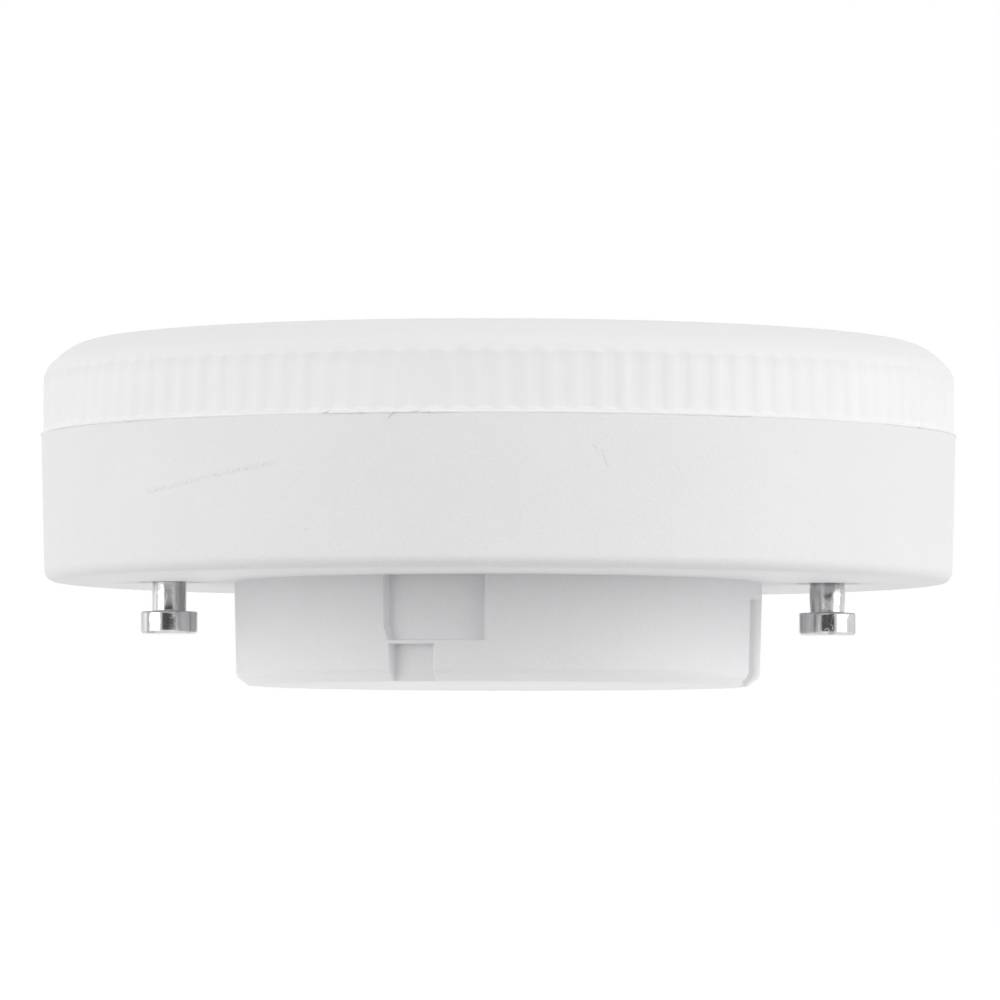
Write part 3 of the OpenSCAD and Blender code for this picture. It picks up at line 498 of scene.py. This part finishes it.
def pin_piece(name, side, swell, material):
    """Contact pin: bevelled head, neck with a half-sine swell, thinner shank and riveted end."""
    neck_z = HEAD_Z + HEAD_H
    shoulder_z = BACK_Z + PIN_RECESS_DEPTH
    pad_z = PIN_TOP_Z - RIVET_H
    head = outline([
        (0, HEAD_Z, 0), (HEAD_R - HEAD_BEVEL, HEAD_Z, 0.1 * MM), (HEAD_R, HEAD_Z + HEAD_BEVEL, 0.2 * MM),
        (HEAD_R, neck_z, 0.15 * MM), (NECK_R, neck_z, 0.1 * MM), (NECK_R, neck_z + 0.2 * MM, 0)
    ])
    t = np.linspace(0, 1, 13)[1:]
    start = neck_z + 0.2 * MM
    neck = np.stack([NECK_R + swell * np.sin(math.pi * t), start + (shoulder_z - start) * t], axis=1)
    shank = outline([
        (NECK_R, shoulder_z, 0), (SHANK_R, shoulder_z, 0), (SHANK_R, pad_z, 0), (RIVET_R, pad_z, 0.08 * MM),
        (RIVET_R, pad_z + RIVET_H / 2, 0.15 * MM), (RIVET_R - RIVET_H / 2, PIN_TOP_Z, 0.15 * MM),
        (0, PIN_TOP_Z, 0)
    ])
    profile = subdivided(np.vstack([head, neck, shank[1:]]), 0.1 * MM)
    piece = turned_profile(name + "_turned", profile, 128)
    piece.data.transform(Matrix.Translation((side * PIN_X, 0, 0)))
    return finish_piece(piece, "root", name, material, sharp_degrees=30)


# Materials

def new_material(name, colour, roughness, metallic=0.0):
    """Material with a Principled shader; returns it with its node tree's main parts."""
    material = bpy.data.materials.new(name)
    material.use_nodes = True
    tree = material.node_tree
    shader = tree.nodes["Principled BSDF"]
    shader.inputs["Base Color"].default_value = (*colour, 1)
    shader.inputs["Roughness"].default_value = roughness
    shader.inputs["Metallic"].default_value = metallic
    place = tree.nodes.new("ShaderNodeTexCoord").outputs["Object"]
    return material, tree, shader, place


def noise(tree, place, scale, detail=2.0, rough=0.5):
    """Noise value on a place, with features of about 1 / scale metres."""
    node = tree.nodes.new("ShaderNodeTexNoise")
    node.inputs["Scale"].default_value = scale
    node.inputs["Detail"].default_value = detail
    node.inputs["Roughness"].default_value = rough
    tree.links.new(place, node.inputs["Vector"])
    return node.outputs["Fac"]


def ramp(tree, value, stops):
    """Colour ramp over a value, from (position, colour) stops."""
    node = tree.nodes.new("ShaderNodeValToRGB")
    elements = node.color_ramp.elements
    while len(elements) < len(stops):
        elements.new(0.5)
    for element, (position, colour) in zip(elements, stops):
        element.position = position
        element.color = (*colour, 1)
    tree.links.new(value, node.inputs["Fac"])
    return node.outputs["Color"]


def arith(tree, operation, *values):
    """Result of one arithmetic step on sockets or numbers."""
    node = tree.nodes.new("ShaderNodeMath")
    node.operation = operation
    for socket, value in zip(node.inputs, values):
        if isinstance(value, (int, float)):
            socket.default_value = value
        else:
            tree.links.new(value, socket)
    return node.outputs["Value"]


def tinted(tree, base, colour, amount):
    """Base colour turned towards another colour by an amount from 0 to 1."""
    node = tree.nodes.new("ShaderNodeMix")
    node.data_type = "RGBA"
    tree.links.new(amount, node.inputs["Factor"])
    tree.links.new(base, node.inputs["A"])
    node.inputs["B"].default_value = (*colour, 1)
    return node.outputs["Result"]


def axes(tree, place):
    """Sockets X, Y and Z of a place."""
    node = tree.nodes.new("ShaderNodeSeparateXYZ")
    tree.links.new(place, node.inputs["Vector"])
    return node.outputs


def stretched(tree, place, scale, turn=(0, 0, 0)):
    """Place with its axes scaled and then turned, for a pattern that runs along one direction."""
    node = tree.nodes.new("ShaderNodeMapping")
    node.inputs["Rotation"].default_value = turn
    node.inputs["Scale"].default_value = scale
    tree.links.new(place, node.inputs["Vector"])
    return node.outputs["Vector"]


def unrolled_wall(tree, place):
    """Place on the round wall, unrolled: distance round from the front, height, and 1."""
    at = axes(tree, place)
    turn = arith(tree, "ARCTAN2", at["X"], arith(tree, "MULTIPLY", at["Y"], -1.0))
    flat = tree.nodes.new("ShaderNodeCombineXYZ")
    tree.links.new(arith(tree, "MULTIPLY", turn, float(DISC_R)), flat.inputs["X"])
    tree.links.new(at["Z"], flat.inputs["Y"])
    flat.inputs["Z"].default_value = 1
    return flat.outputs["Vector"]


def streak(tree, flat, start, end, half_width, strength):
    """Amount of a straight mark between two places of the unrolled wall, soft at its ends and sides."""
    a, b = (np.array([math.radians(turn) * DISC_R, level * MM]) for turn, level in (start, end))
    length = float(np.linalg.norm(b - a))
    along = (b - a) / length
    across = np.array([-along[1], along[0]])
    parts = []
    for direction in (along, across):
        node = tree.nodes.new("ShaderNodeVectorMath")
        node.operation = "DOT_PRODUCT"
        tree.links.new(flat, node.inputs[0])
        node.inputs[1].default_value = (*direction, -float(direction @ a))
        parts.append(node.outputs["Value"])
    width = half_width * MM
    inside = arith(tree, "MULTIPLY", faded(tree, parts[0], -width, width),
                   faded(tree, parts[0], length + width, length - width))
    near = faded(tree, arith(tree, "ABSOLUTE", parts[1]), width, 0)
    return arith(tree, "MULTIPLY", arith(tree, "MULTIPLY", inside, near), strength)


def painted_rim_highlight(tree, place):
    """1 on the far half of the rim round each pin's recess, where a highlight is painted, 0 elsewhere."""
    at = axes(tree, place)
    x = arith(tree, "SUBTRACT", arith(tree, "ABSOLUTE", at["X"]), float(PIN_X))
    squares = [arith(tree, "POWER", value, 2.0) for value in (x, arith(tree, "ABSOLUTE", at["Y"]))]
    reach = arith(tree, "SQRT", arith(tree, "ADD", *squares))
    off = arith(tree, "ABSOLUTE", arith(tree, "SUBTRACT", reach, PIN_RECESS_R + 0.06 * MM))
    near = faded(tree, off, 0.16 * MM, 0.08 * MM)
    far = arith(tree, "GREATER_THAN", at["Y"], 0.0)
    low = arith(tree, "LESS_THAN", at["Z"], BACK_Z + 0.12 * MM)
    return arith(tree, "MULTIPLY", near, arith(tree, "MULTIPLY", far, low))


def bump(tree, shader, height, strength, distance):
    """Bump from a height value, with its depth in metres."""
    node = tree.nodes.new("ShaderNodeBump")
    node.inputs["Strength"].default_value = strength
    node.inputs["Distance"].default_value = distance
    tree.links.new(height, node.inputs["Height"])
    tree.links.new(node.outputs["Normal"], shader.inputs["Normal"])
    return node


def shade(colour, factor):
    """Colour made darker or lighter by a factor."""
    return tuple(min(1.0, c * factor) for c in colour)


def mottled(name, colour, roughness, scale, metallic=0.0, spread=0.08, depth=0.02 * MM):
    """Plain finish with a faint mottle in its colour and a fine grain in its surface."""
    material, tree, shader, place = new_material(name, colour, roughness, metallic)
    value = noise(tree, place, scale, 3.0)
    tint = ramp(tree, value, [(0.3, shade(colour, 1 - spread)), (0.7, shade(colour, 1 + spread))])
    tree.links.new(tint, shader.inputs["Base Color"])
    bump(tree, shader, noise(tree, place, scale * 2.5, 2.0), 0.4, depth)
    return material


def housing_material():
    """White moulded plastic with a fine spark-eroded grain, whose pits get a little painted shade in its
    colour, a few grey marks on its wall and a painted highlight on the far rims round the pins."""
    colour = (0.80, 0.80, 0.81)
    grey = (0.42, 0.42, 0.43)
    # Near white of the painted highlight on the far half of each pin recess's rim
    rim_highlight_white = (0.97, 0.97, 0.97)
    material, tree, shader, place = new_material("housing_plastic", colour, 0.52)
    shader.inputs["Specular IOR Level"].default_value = 0.4
    value = noise(tree, place, 90, 4.0)
    # The fine grain's noise goes into the colour too, as painted shade in the pits of the grain; the coarse
    # noise is the plastic's own mottle
    fine = noise(tree, place, 6500, 2.0, 0.6)
    value = arith(tree, "ADD", arith(tree, "MULTIPLY", value, 0.35), arith(tree, "MULTIPLY", fine, 0.65))
    tint = ramp(tree, value, [(0.36, shade(colour, 0.97)), (0.64, shade(colour, 1.02))])
    flat = unrolled_wall(tree, place)
    speckle = faded(tree, noise(tree, place, 9000, 2.0), 0.5, 0.6)
    amount = arith(tree, "MULTIPLY", streak(tree, flat, *SCUFF), speckle)
    for mark in MARKS:
        amount = arith(tree, "MAXIMUM", amount, streak(tree, flat, *mark))
    marked = tinted(tree, tint, grey, amount)
    # Painted highlight: the far half of each pin recess's rim is painted near white, for the light its far
    # edge catches
    finished = tinted(tree, marked, rim_highlight_white, painted_rim_highlight(tree, place))
    tree.links.new(finished, shader.inputs["Base Color"])
    grain = arith(tree, "ADD", fine, noise(tree, place, 2600, 1.0))
    bump(tree, shader, grain, 0.6, 0.03 * MM)
    return material


def cover_material():
    """Opal plastic, smooth and slightly milky; the face and shoulder are painted less white than the band, a
    painted shade that holds back the stronger light they take from above."""
    colour = (0.85, 0.85, 0.86)
    material, tree, shader, place = new_material("cover_plastic", colour, 0.55)
    shader.inputs["Specular IOR Level"].default_value = 0.3
    value = noise(tree, place, 120, 4.0)
    tint = ramp(tree, value, [(0.35, shade(colour, 0.985)), (0.65, shade(colour, 1.01))])
    # Painted shade: the face and shoulder are painted darker than the band, as more light falls on them from
    # above
    face = faded(tree, axes(tree, place)["Z"], TOP_Z - 4.2 * MM, TOP_Z - 1.2 * MM)
    tree.links.new(tinted(tree, tint, shade(colour, 0.89), face), shader.inputs["Base Color"])
    shader.inputs["Subsurface Weight"].default_value = 0.2
    shader.inputs["Subsurface Radius"].default_value = (1, 1, 1)
    shader.inputs["Subsurface Scale"].default_value = 0.8 * MM
    bump(tree, shader, noise(tree, place, 1500, 2.0), 0.15, 0.02 * MM)
    return material


def nickel_material():
    """Bright nickel plate with fine turning marks, upright bands of painted reflection and, where it is
    worn, scratches.
    """
    colour = (0.57, 0.57, 0.575)
    material, tree, shader, place = new_material("pin_metal", colour, 0.13, 1.0)
    turning = noise(tree, stretched(tree, place, (1, 1, 14)), 900, 3.0)
    slanted = noise(tree, stretched(tree, place, (1, 0.2, 0.5), (0.5, 0.4, 0.9)), 2200, 1.5)
    waves = arith(tree, "ABSOLUTE", arith(tree, "SUBTRACT", slanted, 0.5))
    worn = faded(tree, noise(tree, place, 500, 1.0), 0.42, 0.62)
    scratch = arith(tree, "MULTIPLY", faded(tree, waves, 0.025, 0.0), worn)
    dents = arith(tree, "MULTIPLY", noise(tree, place, 1900, 2.0), worn)
    height = arith(tree, "ADD", arith(tree, "MULTIPLY", turning, 0.2), arith(tree, "MULTIPLY", dents, 0.6))
    bump(tree, shader, arith(tree, "SUBTRACT", height, scratch), 0.5, 0.02 * MM)
    # Upright bands of darker and lighter tone: a painted reflection of the studio in the round pins
    bands = noise(tree, stretched(tree, place, (1, 1, 0.12)), 1600, 2.0)
    tones = [(0.38, shade(colour, 0.7)), (0.48, shade(colour, 1.0)), (0.6, shade(colour, 1.1))]
    painted_reflection_tone = ramp(tree, bands, tones)
    tree.links.new(painted_reflection_tone, shader.inputs["Base Color"])
    rough = arith(tree, "ADD", 0.11, arith(tree, "MULTIPLY", worn, 0.12))
    tree.links.new(rough, shader.inputs["Roughness"])
    return material


# Finishes of the solids inside, as node: (material, colour, roughness, grain scale, metallic)
INNER_FINISHES = {
    "heat_spreader": ("spreader_metal", (0.75, 0.76, 0.77), 0.38, 700, 1.0),
    "thermal_pad": ("pad_rubber", (0.45, 0.52, 0.60), 0.80, 900, 0.0),
    "led_board": ("board_metal", (0.86, 0.86, 0.84), 0.45, 500, 0.0),
    "led_chips": ("phosphor", (0.90, 0.76, 0.30), 0.35, 1500, 0.0),
    "board_screws": ("screw_steel", (0.60, 0.60, 0.60), 0.30, 1200, 1.0),
    "wire_connector": ("connector_plastic", (0.86, 0.86, 0.84), 0.50, 900, 0.0),
    "insulating_sheet": ("sheet_film", (0.35, 0.36, 0.38), 0.55, 400, 0.0),
    "driver_board": ("board_laminate", (0.10, 0.30, 0.16), 0.45, 800, 0.0),
    "smoothing_capacitor": ("can_sleeve_large", (0.08, 0.09, 0.18), 0.30, 700, 0.0),
    "output_capacitor": ("can_sleeve_small", (0.08, 0.09, 0.18), 0.30, 900, 0.0),
    "film_capacitor": ("film_case", (0.75, 0.25, 0.10), 0.50, 900, 0.0),
    "inductor_core": ("ferrite", (0.16, 0.16, 0.17), 0.60, 1500, 0.0),
    "inductor_winding": ("winding_copper", (0.70, 0.36, 0.16), 0.30, 1800, 1.0),
    "bridge_rectifier": ("bridge_resin", (0.05, 0.05, 0.05), 0.55, 2000, 0.0),
    "driver_chip": ("chip_resin", (0.05, 0.05, 0.05), 0.55, 2200, 0.0),
    "fusible_resistor": ("resistor_lacquer", (0.25, 0.45, 0.38), 0.40, 1200, 0.0),
    "varistor": ("varistor_coat", (0.10, 0.20, 0.50), 0.35, 1100, 0.0),
    "live_wire": ("wire_brown", (0.30, 0.17, 0.10), 0.45, 1400, 0.0),
    "neutral_wire": ("wire_blue", (0.15, 0.30, 0.60), 0.45, 1400, 0.0),
    "led_wire_plus": ("wire_red", (0.65, 0.08, 0.06), 0.45, 1400, 0.0),
    "led_wire_minus": ("wire_black", (0.04, 0.04, 0.04), 0.45, 1400, 0.0),
}


def dress_inner_nodes():
    """Gives each solid inside the lamp its finish."""
    for node, (name, colour, roughness, scale, metallic) in INNER_FINISHES.items():
        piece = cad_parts[node]
        piece.data.materials.clear()
        piece.data.materials.append(mottled(name, colour, roughness, scale, metallic))


# Studio

def studio_world():
    """White for what the camera sees. For light, an even pale room; for gloss, the white backdrop
    with a dim patch at the front, where the camera stands: it fades out over y and over |z|."""
    world = bpy.data.worlds.new("studio")
    bpy.context.scene.world = world
    world.use_nodes = True
    tree = world.node_tree
    tree.nodes.clear()
    out = tree.nodes.new("ShaderNodeOutputWorld")
    back = tree.nodes.new("ShaderNodeBackground")
    back.inputs["Color"].default_value = (1, 1, 1, 1)
    place = tree.nodes.new("ShaderNodeTexCoord").outputs["Generated"]
    at = axes(tree, place)
    clear = arith(tree, "MAXIMUM", faded(tree, at["Y"], *PATCH_Y),
                  faded(tree, arith(tree, "ABSOLUTE", at["Z"]), *PATCH_Z))
    dim = arith(tree, "ADD", PATCH_DIM, arith(tree, "MULTIPLY", clear, 1 - PATCH_DIM))
    path = tree.nodes.new("ShaderNodeLightPath")
    mirrored = arith(tree, "MAXIMUM", path.outputs["Is Glossy Ray"], path.outputs["Is Transmission Ray"])
    room = arith(tree, "MULTIPLY", arith(tree, "SUBTRACT", 1.0, mirrored), ROOM)
    light = arith(tree, "ADD", arith(tree, "MULTIPLY", mirrored, dim), room)
    tree.links.new(arith(tree, "MAXIMUM", light, path.outputs["Is Camera Ray"]), back.inputs["Strength"])
    tree.links.new(back.outputs["Background"], out.inputs["Surface"])


def faded(tree, value, low, high):
    """Smooth rise from 0 to 1 as the value goes from low to high."""
    node = tree.nodes.new("ShaderNodeMapRange")
    node.interpolation_type = "SMOOTHSTEP"
    node.inputs["From Min"].default_value = low
    node.inputs["From Max"].default_value = high
    tree.links.new(value, node.inputs["Value"])
    return node.outputs["Result"]


def area_light(name, place, target, size, power):
    """Rectangular soft light at a place, turned towards its target."""
    light = bpy.data.lights.new(name, "AREA")
    light.shape = "RECTANGLE"
    light.size, light.size_y = size
    light.energy = power
    lamp = linked(name, light)
    lamp.location = place
    lamp.rotation_euler = (Vector(target) - Vector(place)).to_track_quat("-Z", "Y").to_euler()
    return lamp


def floor():
    """Pale floor well below the lamp; it shows white to the camera but for the lamp's soft shadow, and it is
    clear from below, so that the lamp's underside can be looked at."""
    corners = [(x * FLOOR_HALF, y * FLOOR_HALF, FLOOR_Z) for x, y in ((-1, -1), (1, -1), (1, 1), (-1, 1))]
    mesh = bpy.data.meshes.new("floor")
    mesh.from_pydata(corners, [], [(0, 1, 2, 3)])
    piece = linked("floor", mesh)
    material, tree, shader, place = new_material("floor_paper", (PAPER, PAPER, PAPER), 0.9)
    tones = [(0.3, (PAPER - 0.005,) * 3), (0.7, (PAPER + 0.005,) * 3)]
    paper = ramp(tree, noise(tree, place, 40, 3.0), tones)
    tree.links.new(paper, shader.inputs["Base Color"])
    path = tree.nodes.new("ShaderNodeLightPath")
    seen = arith(tree, "MAXIMUM", path.outputs["Is Camera Ray"], path.outputs["Is Glossy Ray"])
    seen = arith(tree, "MAXIMUM", seen, path.outputs["Is Transmission Ray"])
    shader.inputs["Emission Color"].default_value = (1, 1, 1, 1)
    tree.links.new(arith(tree, "MULTIPLY", seen, 1 - PAPER * PAPER_LIT), shader.inputs["Emission Strength"])
    clear = tree.nodes.new("ShaderNodeBsdfTransparent")
    mix = tree.nodes.new("ShaderNodeMixShader")
    tree.links.new(tree.nodes.new("ShaderNodeNewGeometry").outputs["Backfacing"], mix.inputs["Fac"])
    tree.links.new(shader.outputs["BSDF"], mix.inputs[1])
    tree.links.new(clear.outputs["BSDF"], mix.inputs[2])
    tree.links.new(mix.outputs["Shader"], tree.nodes["Material Output"].inputs["Surface"])
    mesh.materials.append(material)


def photo_camera():
    """Camera at the photograph's angle. Its distance sets the lens; it aims at the point of the axis plane
    that lies at the picture's centre, and turns by the photograph's small roll."""
    data = bpy.data.cameras.new("photo_camera")
    data.sensor_fit = "HORIZONTAL"
    data.sensor_width = 36
    data.lens = CAMERA_DISTANCE / MM * PIXELS_PER_MM / PHOTO_SIDE * data.sensor_width
    data.clip_start = 0.01
    camera = linked("photo_camera", data)
    height = (BOSS_END_Y - HORIZON_Y) / PIXELS_PER_MM * MM
    aim_x = (PHOTO_SIDE / 2 - AXIS_X) / PIXELS_PER_MM * MM
    aim_z = (BOSS_END_Y - PHOTO_SIDE / 2) / PIXELS_PER_MM * MM
    camera.location = (aim_x, -CAMERA_DISTANCE, height)
    turn = (Vector((aim_x, 0, aim_z)) - camera.location).to_track_quat("-Z", "Y")
    camera.rotation_euler = (turn.to_matrix() @ Matrix.Rotation(PHOTO_ROLL, 3, "Z")).to_euler()
    bpy.context.scene.camera = camera


photo_camera()
studio_world()
for name, angle, width, power in BOXES:
    turn = math.radians(angle)
    place = (BOX_DISTANCE * math.sin(turn), -BOX_DISTANCE * math.cos(turn), BOX_HEIGHT)
    area_light(name, place, (0, 0, 0.01), (width, BOX_TALL), power)
table_light = area_light(
    "table_light", (0, 0, TABLE_LIGHT_Z), (0, 0, 1), TABLE_LIGHT_SIZE, TABLE_LIGHT_POWER)
table_light.visible_camera = False
table_light.visible_glossy = False
floor()

housing_piece(housing_material())
diffuser_piece(cover_material())
nickel = nickel_material()
pin_piece("contact_pin_left", -1, 0.0, nickel)
pin_piece("contact_pin_right", 1, NECK_SWELL, nickel)
dress_inner_nodes()

bpy.context.scene.view_settings.view_transform = "Standard"
